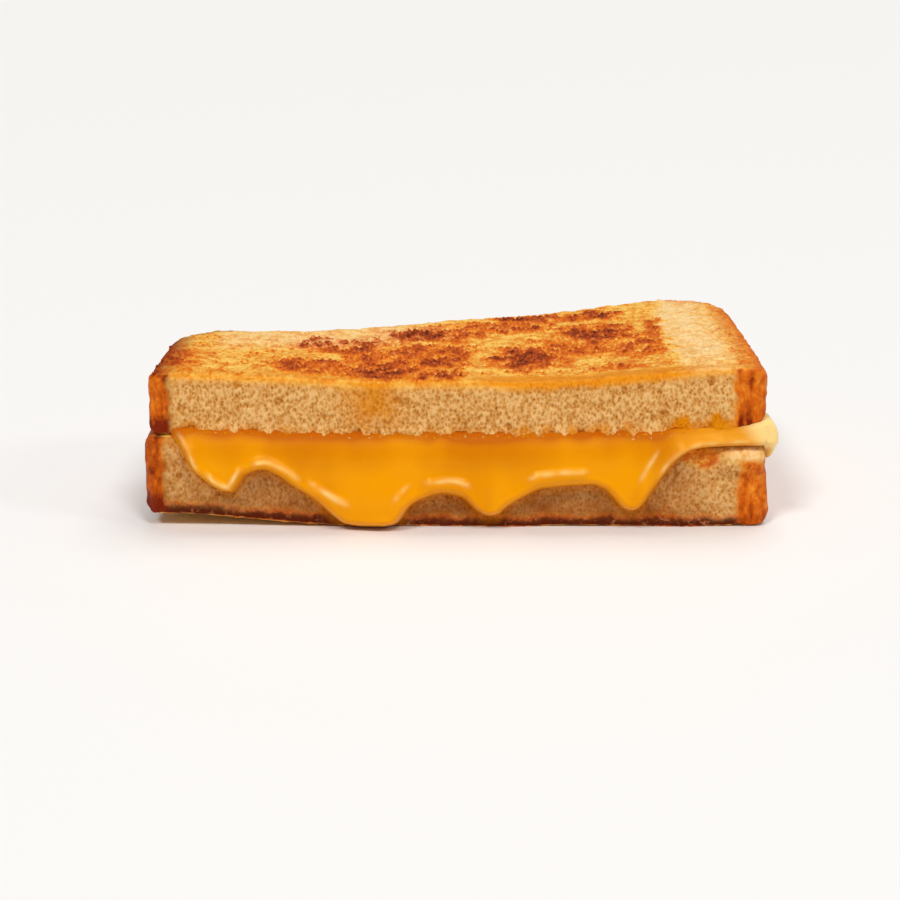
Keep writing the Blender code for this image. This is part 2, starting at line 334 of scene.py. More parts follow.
    dry = node(tree, "Mix", {0: note["crumb"], 6: friedTone, 7: crumbTone}, data_type="RGBA").outputs[2]
    soaked = node(tree, "Mix", {0: note["butter"], 6: dry, 7: fatTone}, data_type="RGBA").outputs[2]
    colour = node(tree, "Mix", {0: note["crust"], 6: soaked, 7: crustTone}, data_type="RGBA").outputs[2]

    # the cut is rougher than the crisp face, and its holes and walls stand out
    matt = node(tree, "MapRange", {"Value": note["crumb"], "To Min": 0.52, "To Max": 0.92}).outputs[0]
    porous = node(tree, "Math", {0: holes, 1: fibre}, operation="ADD").outputs[0]
    height = node(tree, "Mix", {0: note["crumb"], 2: grain, 3: porous}).outputs[0]
    bump = node(tree, "Bump", {"Height": height, "Strength": 0.8, "Distance": 0.4 * mm}).outputs[0]
    shader = node(tree, "BsdfPrincipled", {
        "Base Color": colour, "Roughness": matt, "Normal": bump, "IOR": 1.45,
        "Specular IOR Level": 0.25, "Specular Tint": bread["sheen"]})
    node(tree, "OutputMaterial", {"Surface": shader.outputs[0]})
    return material


melt = {
    "body": "#f29e02",
    "deep": "#c46202",          # painted shade just under the bread and along the lower edge, and its deeper random streaks
    "thin": "#e6961a",          # thin lip at the right
    "pale": "#f8d58a",          # the cheese squeezed out past the end crust, and the painted highlight on the fold crests
    "sheen": "#ffd27a",         # warm fat tints its gloss
    "driftSize": 9,             # mm, slow changes of tone down the curtain
    "rippleSize": 2.2,          # mm, its faint ripples
    "bleed": 1.4,               # mm, how far light spreads in it
}


def meltedCheddar():
    # melted processed cheddar: smooth, a little translucent, with the soft gloss of warm fat on it
    material, tree, place, note = newFinish("meltedCheddar", ("deep", "thin", "pale"))
    flow = node(tree, "Mapping", {"Vector": place, "Scale": (1, 1, 0.45)}).outputs[0]
    drift = node(tree, "TexNoise", {
        "Vector": flow, "Scale": perMm(melt["driftSize"]), "Detail": 1.0}).outputs["Fac"]
    driftPart = node(tree, "MapRange", {
        "Value": drift, "From Min": 0.35, "From Max": 0.65, "To Min": -0.15, "To Max": 0.22}).outputs[0]
    # the note deep brings painted shade under the bread and along the lower edge, and slow random streaks
    deep = node(tree, "Math", {0: driftPart, 1: note["deep"]}, operation="ADD", use_clamp=True).outputs[0]
    body = node(tree, "Mix", {0: deep, 6: melt["body"], 7: melt["deep"]}, data_type="RGBA").outputs[2]
    lip = node(tree, "Mix", {0: note["thin"], 6: body, 7: melt["thin"]}, data_type="RGBA").outputs[2]
    # pale on the tongue, and a painted highlight on the fold crests
    colour = node(tree, "Mix", {0: note["pale"], 6: lip, 7: melt["pale"]}, data_type="RGBA").outputs[2]
    matt = node(tree, "MapRange", {"Value": note["deep"], "To Min": 0.22, "To Max": 0.5}).outputs[0]
    ripple = node(tree, "TexNoise", {
        "Vector": flow, "Scale": perMm(melt["rippleSize"]), "Detail": 2.0}).outputs["Fac"]
    bump = node(tree, "Bump", {"Height": ripple, "Strength": 0.25, "Distance": 0.2 * mm}).outputs[0]
    shader = node(tree, "BsdfPrincipled", {
        "Base Color": colour, "Roughness": matt, "IOR": 1.45, "Normal": bump,
        "Subsurface Weight": 0.3, "Subsurface Radius": (1.0, 0.45, 0.12),
        "Subsurface Scale": melt["bleed"] * mm, "Specular IOR Level": 0.3,
        "Specular Tint": melt["sheen"]})
    node(tree, "OutputMaterial", {"Surface": shader.outputs[0]})
    return material


def sideOf(count, first, last, turns):
    # one side of a rounded section as offset + share * length along it and a depth inwards. It starts
    # and ends halfway round a corner: r (1 - cos), r (1 - sin) from 45 to 90 degrees, with even steps
    # between the corners
    angle = np.radians(np.linspace(45, 90, turns + 1))
    even = np.linspace(0, 1, count - 2 * turns + 1)[1:-1]
    offset = np.concatenate([first * (1 - np.cos(angle)), first + even * (-first - last),
                             -last * (1 - np.cos(angle[::-1]))])
    share = np.concatenate([0 * angle, even, 0 * angle + 1])
    inward = np.concatenate([first * (1 - np.sin(angle)), 0 * even, last * (1 - np.sin(angle[::-1]))])
    return offset[:-1], share[:-1], inward[:-1]


def breadGrid(low, high, spec):
    # a rounded section carried along X: up the cut, back over the top, down the uncut side and forward
    # underneath. Each end is closed by ever smaller copies of the last section, crowned a little, down
    # to its middle
    (left, right), edge = spec["ends"], sandwich["endEdge"]
    angle = np.radians(np.linspace(0, 90, 9))[1:]
    tip, tipInset = edge * (1 - np.sin(angle)), edge * (1 - np.cos(angle))
    middle = np.linspace(left + edge, right - edge, spec["along"])
    x = np.concatenate([left + tip[::-1], middle, right - tip])[:, None]
    inset = np.concatenate([tipInset[::-1], 0 * middle, tipInset])[:, None]
    depth = backEdge(x, spec["ends"]) - sandwich["cut"] - 2 * inset

    frontTop, backTop, backBottom, frontBottom = sandwich["edges"]
    cutSteps, topSteps, backSteps, baseSteps = spec["steps"]
    cutOff, cutShare, cutIn = sideOf(cutSteps, frontBottom, frontTop, 4)
    topOff, topShare, topIn = sideOf(topSteps, frontTop, backTop, 5)
    backOff, backShare, backIn = sideOf(backSteps, backTop, backBottom, 5)
    baseOff, baseShare, baseIn = sideOf(baseSteps, backBottom, frontBottom, 4)
    front = sandwich["cut"] + inset
    y = np.hstack([front + cutIn + 0 * x, front + topOff + topShare * depth, front + depth - backIn,
                   front + depth - baseOff - baseShare * depth])
    wide = x + 0 * y
    bottom, top = low(wide, y) + inset, high(wide, y) - inset
    upOffset = np.concatenate([cutOff, -topIn, -backOff, baseIn])
    upShare = np.concatenate([cutShare, 1 + 0 * topIn, 1 - backShare, 0 * baseIn])
    z = bottom + upOffset + upShare * (top - bottom)
    up = (z - bottom) / (top - bottom)
    y = y + sandwich["bulge"] * ramp((y - front) / depth, 0.8, 1) * 4 * up * (1 - up)
    body = np.stack([wide, y, z], -1)
    stations, around = y.shape
    index = np.arange(stations * around).reshape(stations, around)
    after = np.roll(index, -1, 1)
    quads = [np.stack([index[:-1], index[1:], after[1:], after[:-1]], -1).reshape(-1, 4)]
    points = [body.reshape(-1, 3)]
    count = stations * around
    for station, outward in ((0, -1), (stations - 1, 1)):
        section = body[station]
        heart = (section.max(0) + section.min(0)) / 2
        size = np.linspace(1, 0, spec["capRings"] + 2)[1:-1, None]
        rings = heart + (section - heart) * size[..., None]
        rings[..., 0] += outward * spec["crown"] * ramp(1 - size, 0, 0.6)
        points += [rings.reshape(-1, 3), heart[None] + (outward * spec["crown"], 0, 0)]
        ringIndex = count + np.arange(rings.shape[0] * around).reshape(-1, around)
        loops = np.vstack([index[station], ringIndex])
        count += ringIndex.size + 1
        turned = np.roll(loops, -1, 1)
        cap = [turned[:-1], loops[:-1], loops[1:], turned[1:]]
        quads.append(np.stack(cap if outward > 0 else cap[::-1], -1).reshape(-1, 4))
        first, second = (turned[-1], loops[-1]) if outward > 0 else (loops[-1], turned[-1])
        quads.append(np.stack([first, second, 0 * first + count - 1, first], -1))
    return np.concatenate(points), np.concatenate(quads)


upperSpec = {
    "upper": True, "ends": sandwich["upperEnds"], "seed": 70,
    "along": 366, "steps": (44, 150, 18, 26),    # points up the cut, over the top, down the back, underneath
    "crown": 0.5, "capRings": 13,                # swelling of the closed ends, and their rings
    "crustWide": (4.3, 6.6),     # width of the end crusts on the cut, left and right
    "rimWide": (4.5, 4.8),       # how much wider the browned rim of the face is near its ends
    "fried": 1.0,                # how far the fried layer reaches down the cut
    # places where the face lay hard on the pan: x, y, half length, half width, how dark
    "browned": [
        (-28, 2, 5, 6, 0.85), (-29, -19, 7, 7, 0.75), (-19, -6, 4, 12, 0.8), (-15, -23, 5, 6, 1.1),
        (-6, 12, 8, 5, 1.0), (-7, -8, 8, 10, 0.85), (-5, -26, 6, 4, 0.9), (10, 18, 9, 4.5, 0.8),
        (16, 26, 6, 3.5, 1.0), (28, 27, 8, 4, 0.8), (30, 10, 6, 7, 1.15), (25, -3, 6, 5, 0.9),
        (14, -11, 7, 7, 1.0), (37, -7, 5, 8, 0.75), (33, -21, 7, 3, 0.65), (20, 4, 6, 4, 0.55),
        (42, 12, 2, 8, 0.75), (-37, -12, 4, 6, 0.4),
    ],
    "grains": 0.95,              # height of the crisp grains
    "tuftDown": 0.95, "tuftOut": 1.5,    # how far the tufts along the seam hang down and stand out
    "pinch": -1.2,               # rise of the seam at the left end, where the slices touch
    "run": -16.2,                # X where fat ran down the cut
}

lowerSpec = {
    "upper": False, "ends": sandwich["lowerEnds"], "seed": 40,
    "along": 400, "steps": (60, 26, 28, 66), "crown": 0.4, "capRings": 13,
    "crustWide": (4.0, 5.8), "rimWide": (0, 0), "burnt": 1.7,    # height of the burnt lower edge on the cut, darkened further as painted shadow
    "browned": [
        (-30, -8, 12, 12, 1.0), (-6, -20, 16, 8, 1.0), (14, 0, 14, 12, 1.0), (34, -16, 14, 10, 1.0),
        (-10, 4, 12, 6, 0.8), (32, 16, 10, 8, 0.8),
    ],
    "grains": 0.35, "tuftDown": -0.3, "tuftOut": 0.4, "pinch": 0.5,
    "stain": (47.4, 14.0),       # X and Z of the browned stain under the cheese's right lip
}

# Both slices' relief: layers of hills, each with its height, its size along X, Y and Z, and its draw
relief = {
    "ragged": [(0.5, (3.0, 3.0, 2.2), 0), (0.35, (0.9, 0.9, 1.2), 1)],    # edges of the crust and the marks
    "broken": [(0.3, (4.2, 5.0, 1), 0), (0.4, (1.7, 2.0, 1), 1)],         # breaks up the pan marks
    "grain": [(0.14, (0.9, 1.1, 1), 6), (0.16, (2.4, 2.8, 2), 8)],        # of the toasted face
    "wrinkle": [(0.26, (0.8, 1.2, 1.5), 10), (0.18, (1.8, 3, 7), 11)],    # of the crust
    "waves": 0.28,               # height of the slow waves of every face
    # holes of the crumb: cell, widest hole, depth, how much taller than wide, and draw
    "holes": [(4.2, 2.3, 0.4, 1.2, 21), (1.2, 0.9, 0.12, 1.4, 22), (0.7, 0.7, 0.14, 1.4, 23)],
    "bigHoles": 0.4,             # share of the cells that have a big one
    "deepest": 0.34,             # the depth at which a hole's painted shade is at its darkest
}


def nodules(x, y, seed):
    # crisp grains of the fried face, from 0 between them to 1 on top: round lumps of two sizes
    return np.maximum(pores(x, y, 1.15, 1.6, seed), 0.8 * pores(x, y, 0.8, 1.0, seed + 1))


def panMarks(x, y, browned, seed):
    # how brown the face is: a bell for each browned place, broken up by hills of two sizes and by the
    # grains, over a paler ground that follows the bells alone
    field = 0
    for markX, markY, halfLong, halfWide, dark in browned:
        bell = np.exp(-((x - markX) / halfLong) ** 2 * 0.5 - ((y - markY) / halfWide) ** 2 * 0.5)
        field = np.maximum(field, dark * bell)
    broken = rough(x, y, 0 * x, relief["broken"], seed) + 0.6 * (nodules(x, y, seed + 2) - 0.45)
    return 0.27 * ramp(field, 0.1, 0.7) + 0.44 * ramp(0.72 * field + broken, 0.34, 0.9)


def crumbRelief(x, z):
    # depth of the cut face's holes in mm, from 0 at the knife's plane, and the share of the deepest hole
    depths = [pores(x, z / tall, size, width, draw) * deep
              for size, width, deep, tall, draw in relief["holes"]]
    some = lattice(cell(x, 4.2), cell(z, 5), 3, 5) > 1 - relief["bigHoles"]    # cells with a big hole
    depths[0] = depths[0] * some
    hole = np.maximum.reduce(depths)
    tear = 0.12 * hills(x, 0 * x, z, (0.8, 1, 1.7), 24)
    return hole + tear, hole / relief["deepest"]


def placeOnSlice(points, normal, low, high, spec):
    # for each point of a slice: its distance from each side, how ragged the edges are there, and from
    # 0 to 1 how much of it is cut, top, base, toasted face, crust, burnt edge and crumb
    x, y, z = points.T
    ends, seed = spec["ends"], spec["seed"]
    at = SimpleNamespace(x=x, y=y, z=z, fromBase=z - low(x, y), fromTop=high(x, y) - z)
    at.fromCut = y - sandwich["cut"]
    at.fromEnd = np.where(x < 0, x - ends[0], ends[1] - x)
    at.fromBack = backEdge(x, ends) - y
    at.onCut = ramp(-normal[:, 1], 0.45, 0.8)
    at.onTop, at.onBase = ramp(normal[:, 2], 0.35, 0.8), ramp(-normal[:, 2], 0.35, 0.8)
    at.ragged = rough(x, y, z, relief["ragged"], seed)

    # the crust covers both ends of the cut, the sides, and a rim of the top and the base, in dark streaks
    at.toasted, inner = (at.onTop, at.onBase) if spec["upper"] else (at.onBase, at.onTop)
    crustWide = np.where(x < 0, *spec["crustWide"]) + 1.3 * at.ragged
    at.endCrust = ramp(-at.fromEnd, -crustWide - 0.9, -crustWide + 0.9) * at.onCut
    sideCrust = np.maximum(ramp(np.abs(normal[:, 0]), 0.35, 0.75), ramp(normal[:, 1], 0.25, 0.7))
    widerLeft, widerRight = spec["rimWide"]
    wider = (widerLeft * ramp(-x, 44, 54) + widerRight * ramp(x, 38, 52)) * at.onTop
    rimWide = 2.8 + wider + 3 * inner + 1.8 * at.ragged
    rimCrust = ramp(-np.minimum(at.fromEnd, at.fromBack), -rimWide, 0.2) * (at.onTop + at.onBase)
    at.crust = np.clip(at.endCrust + sideCrust + rimCrust, 0, 1)
    at.streaks = ramp(hills(x, y, z, (1.0, 2, 5), seed + 14), -0.1, 0.7) * ramp(at.fromEnd, 1.6, 3.4)

    # on the cut, the fried or burnt edge of the outer face shows, and the burnt one carries painted shadow
    if spec["upper"]:
        fried = spec["fried"] * (1 + 0.5 * at.ragged + 0.25 * hills(x, y, z, (9, 9, 9), seed + 2))
        at.burnt, skin = 0 * x, ramp(fried - at.fromTop, -0.9, 0.8)
    else:
        at.burnt = skin = ramp(spec["burnt"] + 0.8 * at.ragged - at.fromBase, -1.5, 0.9)
    at.crumb = at.onCut * (1 - skin) * (1 - at.endCrust)
    return at


def browning(at, spec):
    # how brown each point is, from 0 to about 1: pan marks, specks towards both ends, a brown left corner
    # and a burnt lower edge, darkened as painted shadow. The upper face's marks keep off its edges and its
    # right end
    x, y, z, seed = at.x, at.y, at.z, spec["seed"]
    char = panMarks(x, y, spec["browned"], seed + 5)
    if spec["upper"]:
        margin = 0.7 + 4.7 * ramp(x, 0, 2.5) + 0.9 * at.ragged
        char = char * (ramp(at.fromCut, margin - 0.4, margin + 0.6)
                       * (1 - ramp(x + 3.2 * at.ragged, 42.8, 45.6)) * ramp(at.fromBack, 2.6, 6.5))
    char = np.maximum(char * at.toasted, 1.15 * at.burnt * (1 - at.toasted))
    specks = ramp(hills(x, y, z, (0.8, 1.1, 1), seed + 9), 0.35, 0.75)
    specks = specks * (0.36 * ramp(-x, 20, 34) + 0.34 * ramp(x, 42, 46))
    specks = specks * (1 - ramp(at.fromCut, 34, 44)) * (1 - 0.4 * ramp(12 - at.fromBack, 0, 8))
    if spec["upper"]:
        corner = np.exp(-((x + 57) / 5.5) ** 2 - ((at.fromCut - 14) / 10) ** 2)
        corner = corner * (0.75 + 0.8 * hills(x, y, z, (1.1, 1.3, 1), seed + 17))
        char = np.maximum(char, 0.62 * corner * at.toasted)
    return np.maximum(char, specks * at.toasted)


def upperTones(at, char, tuft, spec):
    # fat ran down the cut in one place, soaked in along the face's front edge, and seeped up from the seam
    # in patches, and the seam is darker orange between the tufts. The face is pale at the right, where it
    # hardly touched the pan, and at the back left. The left crust is darkest low down
    x, y, z, ragged, seed = at.x, at.y, at.z, at.ragged, spec["seed"]
    atLeft, atFront = ramp(-x, 30, 56), ramp(-at.fromCut, -14, -3)
    dark = 1.1 * ramp(4 + 2 * ragged - at.fromBase, 0, 4) * (0.4 + 0.6 * atFront)
    dark = dark + 0.45 * atFront * ramp(at.fromEnd, 2.6, 4.4)
    shade = (0.58 - 0.33 * atLeft) * at.streaks + atLeft * dark
    shade = shade * (1 - at.onTop) + 0.45 * at.onTop * ramp(-x, 20, 50)

    run = np.exp(-((x - spec["run"] + 2 * ragged) / 5.6) ** 2) * ramp(11 + 2.4 * ragged - at.fromTop, 0, 6)
    edge = 0.3 + 0.6 * ramp(x, 5, 14) * (1 - ramp(x, 38, 48))
    edge = ramp(2.8 + 0.9 * ragged - at.fromTop, 0, 2) * edge
    band = 0.4 + 0.5 * ramp(x, 2, 8) * (1 - ramp(x, 40, 50))
    band = at.onTop * (1 - ramp(at.fromCut, 4, 7)) * band
    atRight = ramp(x, 34, 50)
    wet = 0.45 + 0.35 * ramp(hills(x, y, z, (4, 4, 4), seed + 15), -0.2, 0.6) + 0.5 * atRight
    patch = ramp(hills(x, y, 0 * z, (2.2, 9, 1), seed + 16), -0.1, 0.5) * ramp(x, 4, 16)
    seep = ramp(1.5 + 1.3 * patch + 1.2 * atRight + ragged - at.fromBase, 0, 1.6) * (wet + 0.4 * patch)
    gaps = ramp(2.0 + 0.8 * ragged - at.fromBase, 0, 1.8) * (0.3 + 0.5 * wet)
    gaps = (1 - ramp(tuft, 0.15, 0.8)) * gaps
    butter = at.onCut * np.maximum.reduce([0.85 * run, edge, 0.8 * seep, gaps]) + band

    right = ramp(x + 3.2 * ragged, 42.8, 45.8) * (0.55 + 0.45 * ramp(at.fromCut, 6, 14))
    backLeft = 0.7 * (1 - ramp(at.fromBack, 13, 26)) * ramp(-x, -5, 22) * (1 - ramp(-x, 46, 54))
    light = at.onTop * (right + backLeft) * (1 - 0.9 * ramp(-at.fromEnd, -9, -3))
    return {"crust": at.crust, "crumb": at.crumb, "char": char, "low": 0 * x, "shade": shade,
            "butter": butter * (1 - at.onTop * ramp(char, 0.25, 0.5)),
            "light": light * (1 - ramp(char, 0.3, 0.6))}


def lowerTones(at, char, spec):
    # the crumb is darkened by painted shade, partly fat soaked in, and next to the cheese it takes fat and
    # painted light bounced off the cheese. The top right corner is painted pale as light where it faces up,
    # beside a browned stain. The left crust is darker, and both are darkest low down
    x, z, ragged = at.x, at.z, at.ragged
    fade = 1 - ramp(x, 40, 54) * 0.7 - ramp(-x, 34, 52) * 0.3
    # painted shade, less towards the ends and more low down, partly fat soaked in
    low = fade * (0.5 + 0.45 * ramp(8 - z, 0, 7) + 0.35 * ragged)
    shade = 0.35 * at.streaks + 0.23 - 0.5 * ramp(x, -54, 54) + 0.55 * ramp(6 - at.fromBase, 0, 5.5)
    stainX, stainZ = spec["stain"]
    stain = np.exp(-((x - stainX + ragged) / 3.4) ** 2 - ((z - stainZ + ragged) / 1.9) ** 2)
    stained = ramp(stain, 0.05, 0.5) * at.onCut
    # fat, and painted light bounced off the cheese, on the crumb next to its lower edge
    fatAndBounce = 0.55 * ramp(2.8 - (cheeseEdge(x) - z), 0, 2.6)
    # painted light on the top right corner, where it faces up, in the colour of pale toast
    light = ramp(x + 1.4 * ragged, 51.0, 54) * ramp(4.6 + 1.4 * ragged - at.fromTop, 0, 2.0)
    char = np.maximum(char, (0.42 + 0.3 * ragged) * stained)
    return {"crust": at.crust * (1 - 0.95 * light), "crumb": at.crumb * (1 - light) * (1 - 0.95 * stained),
            "char": char * (1 - light), "low": low, "shade": shade,
            "butter": at.onCut * fatAndBounce * (1 - light), "light": light}


def breadPiece(name, nodeName, low, high, spec, finish):
    points, quads = breadGrid(low, high, spec)
    normal = normalsOf(points, quads)
    at = placeOnSlice(points, normal, low, high, spec)
    x, y, z, seed, upper = at.x, at.y, at.z, spec["seed"], spec["upper"]
    char = browning(at, spec)

    # relief along the normal: holes of the crumb, waves, grain of the faces, crisp grains and wrinkles
    holeDepth, hole = crumbRelief(x, z)
    waves = relief["waves"] * hills(x, y, z, (11, 11, 7), seed + 3) - 0.1
    grain = rough(x, y, z, relief["grain"], seed) * (1 + 0.8 * ramp(x, 42, 46))
    crisp = ramp(char, 0.08, 0.4) * at.toasted * (nodules(x, y, seed + 7) - 0.4) * spec["grains"]
    wrinkle = rough(x, y, z, relief["wrinkle"], seed)
    lift = (-at.crumb * (holeDepth + 0.05) + at.onCut * waves * 0.6
            + (at.onTop + at.onBase) * (waves + grain) * 0.9 + crisp
            + at.crust * wrinkle * (1 - 0.5 * at.onTop))
    points = points + normal * lift[:, None]

    # tufts along the seam, where the crumb was squashed on the cheese, fewer at its right end
    fromSeam = at.fromBase if upper else at.fromTop
    fringe = ramp(-fromSeam, -1.9, 0) * at.onCut * (1 - at.endCrust)
    fringe = fringe * (1 - 0.75 * ramp(x, 38, 48)) * ramp(x, -56, -50)
    tuft = 0.8 * ramp(hills(x, y, 0 * x, (0.8, 1, 1), seed + 12), -0.1, 0.6)
    tuft = tuft + ramp(hills(x, y, 0 * x, (1.6, 1, 1), seed + 13), -0.1, 0.5)
    points[:, 2] -= spec["tuftDown"] * fringe * tuft
    points[:, 1] -= spec["tuftOut"] * fringe * tuft
    points[:, 2] += spec["pinch"] * ramp(-x, 53.5, 56.5) * ramp(-fromSeam, -4, 0)
    if not upper:    # its right end leans in a little towards the top, and its corner is rounder
        corner = ramp(x, 49, 54) * ramp(at.fromTop, 0.2, 3) * (1 - ramp(at.fromTop, 4, 8)) * at.onCut
        points[:, 1] -= 1.7 * corner
        points[:, 0] -= 0.9 * ramp(z, 3, 16) * ramp(x, 50, 60)
        points[:, 2] = np.maximum(points[:, 2], 0)
    points[:, 0] = lean(points[:, 0], points[:, 1])

    notes = upperTones(at, char, tuft, spec) if upper else lowerTones(at, char, spec)
    # the note hole gives the crumb's deeper holes painted shade
    notes["hole"] = hole * at.crumb
    addPiece(name, points, quads, finish, nodeName, notes)


cheese = {
    "left": -55.8, "right": 62.7,
    "along": 460,            # places along it, between its rounded ends
    "endRadii": (1.2, 2.4),  # rounding of its left and right ends
    "pressed": 0.45,         # how far its top lies in the upper slice
    "sunk": 0.3,             # and its underside in the lower one
    "inside": 0.35,          # the back of the curtain is this far behind the cut
    "reach": 3.3,            # how far the curtain stands off the cut
    "grows": (-57.2, -51),   # it does so from the left end on
    "rim": 2.2,              # width of the rounded rim along its lower edge
    "bead": 0.5,             # the rim is this much fatter than the sheet above it
    "shoulder": 5.5,         # height over which it swells out from under the bread
    "droop": 3.2,            # sag of the part past the end crust
    "tuck": 2.3,             # and how far behind the cut it stands
    "recess": 1.2,           # it stops short of the uncut side
    # its lower edge along the cut: x and z at each tip and each hollow
    "edge": [(-55.4, 18.2), (-54.2, 16.4), (-52.2, 12.4), (-50.2, 10.4), (-47.3, 8.3), (-45.6, 7.6),
             (-43.9, 7.5), (-42.6, 8.8), (-41.0, 11.1), (-38.0, 12.0), (-35.6, 11.1), (-32.7, 9.0),
             (-28.4, 6.0), (-24.9, 2.9), (-22.0, 0.9), (-18.5, 0.4), (-14.5, 0.4), (-12.2, 0.9),
             (-10.6, 2.3), (-9.4, 4.2), (-7.4, 5.7), (-2.8, 7.0), (0.5, 6.4), (3.0, 4.1), (4.8, 2.9),
             (6.4, 2.5), (8.2, 2.9), (9.8, 4.4), (14.1, 7.0), (16.8, 8.1), (26.2, 8.9), (28.2, 8.3),
             (30.0, 6.6), (32.2, 4.2), (34.0, 3.6), (35.8, 4.2), (38.3, 7.6), (41.5, 12.4),
             (43.6, 14.8), (45.8, 16.0), (50.0, 16.7), (57.5, 17.1)],
    # soft folds along the lower edge, where the gloss gathers and a highlight is painted on each crest: x at
    # both ends, how far from the edge at both, how tall
    "folds": [(-55.2, -49.6, 1.6, 1.7, 0.7), (-49.4, -41.2, 2.0, 1.9, 0.9), (-40.6, -30.0, 2.1, 2.3, 0.95),
              (-29.6, -20.4, 2.6, 4.4, 0.9), (-13.4, -8.6, 4.0, 4.0, 0.6), (-7.2, 3.4, 3.4, 3.4, 0.9),
              (13.0, 26.0, 3.3, 3.3, 0.9), (34.6, 39.6, 3.8, 3.8, 0.6), (38.6, 61.5, 0.9, 0.8, 0.5)],
    # the swelling of each drip: x, z, half width, half height and how much fatter
    "drops": [(-44.4, 11.5, 4.5, 3.5, 0.5), (-16.6, 5.8, 7.5, 5.0, 1.3), (6.3, 7.2, 5.5, 4.2, 0.9),
              (34.2, 8.2, 4.5, 4.2, 0.9)],
    # rows round the section: down behind the curtain, up its front, back along the sheet's top, round its
    # rear edge and forward underneath
    "rows": (9, 65, 15, 10, 16),
}


def cheeseEdge(x):
    # a cubic through the edge's points, level at each tip and hollow: elsewhere its slope is the
    # harmonic mean of those on both sides
    px, pz = np.array(cheese["edge"]).T
    step = np.diff(px)
    slope = np.diff(pz) / step
    turning = slope[:-1] * slope[1:] <= 0
    mean = 2 * slope[:-1] * slope[1:] / np.where(turning, 1, slope[:-1] + slope[1:])
    tangent = np.concatenate([[slope[0]], np.where(turning, 0, mean), [0]])
    k = np.clip(np.searchsorted(px, x) - 1, 0, len(step) - 1)
    t = np.clip((x - px[k]) / step[k], 0, 1)
    return ((2 * t**3 - 3 * t**2 + 1) * pz[k] + (t**3 - 2 * t**2 + t) * step[k] * tangent[k]
            + (3 * t**2 - 2 * t**3) * pz[k + 1] + (t**3 - t**2) * step[k] * tangent[k + 1])


def cheeseUnderside(x):
    # a little into the lower slice, and sagging where it has passed the end crust
    return seamLow(x, 0) - cheese["sunk"] - cheese["droop"] * ramp(x, 59.6, 60.6)


def fromLowerEdge(x, z):
    # distance of each place on the curtain to the curve of its lower edge, a stretch of the curve at a time
    curveX = np.linspace(cheese["left"], cheese["right"], 1100)
    curveZ = np.minimum(cheeseEdge(curveX), cheeseUnderside(curveX) - 0.25)
    nearest = np.full_like(z, np.inf)
    for part in range(0, len(curveX), 100):
        dx = x[..., None] - curveX[part:part + 100]
        dz = z[..., None] - curveZ[part:part + 100]
        nearest = np.minimum(nearest, np.sqrt(dx * dx + dz * dz).min(-1))
    return nearest


def curtain(x, z, edge, high, shrink):
    # how far the curtain stands off the cut, its distance from the lower edge, and from 0 to 1 where a
    # highlight is painted along the fold crests. It stands by its reach, times a quarter circle over the rim
    # and a shoulder under the bread, fatter by the bead and the drips. The folds, each a bell across the
    # rim, are added to that
    c = cheese
    toEdge = np.minimum(fromLowerEdge(x, z), z - edge + 0.02)
    rim = np.clip(toEdge / (c["rim"] * (1 - 0.45 * ramp(x, 37, 45))), 0, 1)
    shoulderHigh = np.maximum(np.minimum(c["shoulder"], 0.8 * (high - edge)), 0.01)
    shoulder = np.clip((high - z) / shoulderHigh, 0, 1)
    bead = 0.65 + 0.5 * hills(x, 0 * x, 0 * x, (5, 1, 1), 35)
    fat = 1 + bead * c["bead"] / c["reach"] * np.exp(-((toEdge - 1.7) / 1.2) ** 2)
    for dropX, dropZ, halfWidth, halfHeight, extra in c["drops"]:
        bell = np.exp(-((x - dropX) / halfWidth) ** 2 - ((z - dropZ) / halfHeight) ** 2)
        fat = fat + extra / c["reach"] * bell
    flow = 0.22 * hills(x, 0 * x, z, (6.5, 1, 16), 32) + 0.1 * hills(x, 0 * x, z, (2.6, 1, 9), 33)
    reach = c["reach"] * ramp(x, *c["grows"]) * (1 - 0.6 * ramp(x, 42, 52))
    reach = reach * (1 + 0.5 * ramp(x, 60, 62)) * shrink
    stand = reach * np.sqrt(1 - (1 - rim) ** 2) * (fat + flow / 3)
    stand = stand * (0.35 * np.sqrt(ramp(high - z, -0.1, 0.9)) + 0.65 * (1 - (1 - shoulder) ** 2))
    paintedHighlight = np.zeros_like(z)
    for start, stop, off, offStop, tall in c["folds"]:
        here = ramp(x, start, start + 2) * (1 - ramp(x, stop - 2, stop)) * shrink
        away = toEdge - off - (offStop - off) * ramp(x, start, stop)
        away = away - 0.35 * hills(x, 0 * x, 0 * x, (4, 1, 1), 36)
        bell = np.exp(-(away / np.where(away < 0, 1.5, 0.95)) ** 2)
        stand = stand + tall * here * bell * np.sqrt(rim)
        thread = 0.65 + 0.55 * hills(x, 0 * x, z, (1.6, 1, 1.6), 38)
        # the paler thread along each crest is a painted highlight
        paintedHighlight = np.maximum(paintedHighlight, here * thread * np.exp(-((away - 0.25) / 0.42) ** 2) * (rim > 0.2))
    return stand, toEdge, paintedHighlight


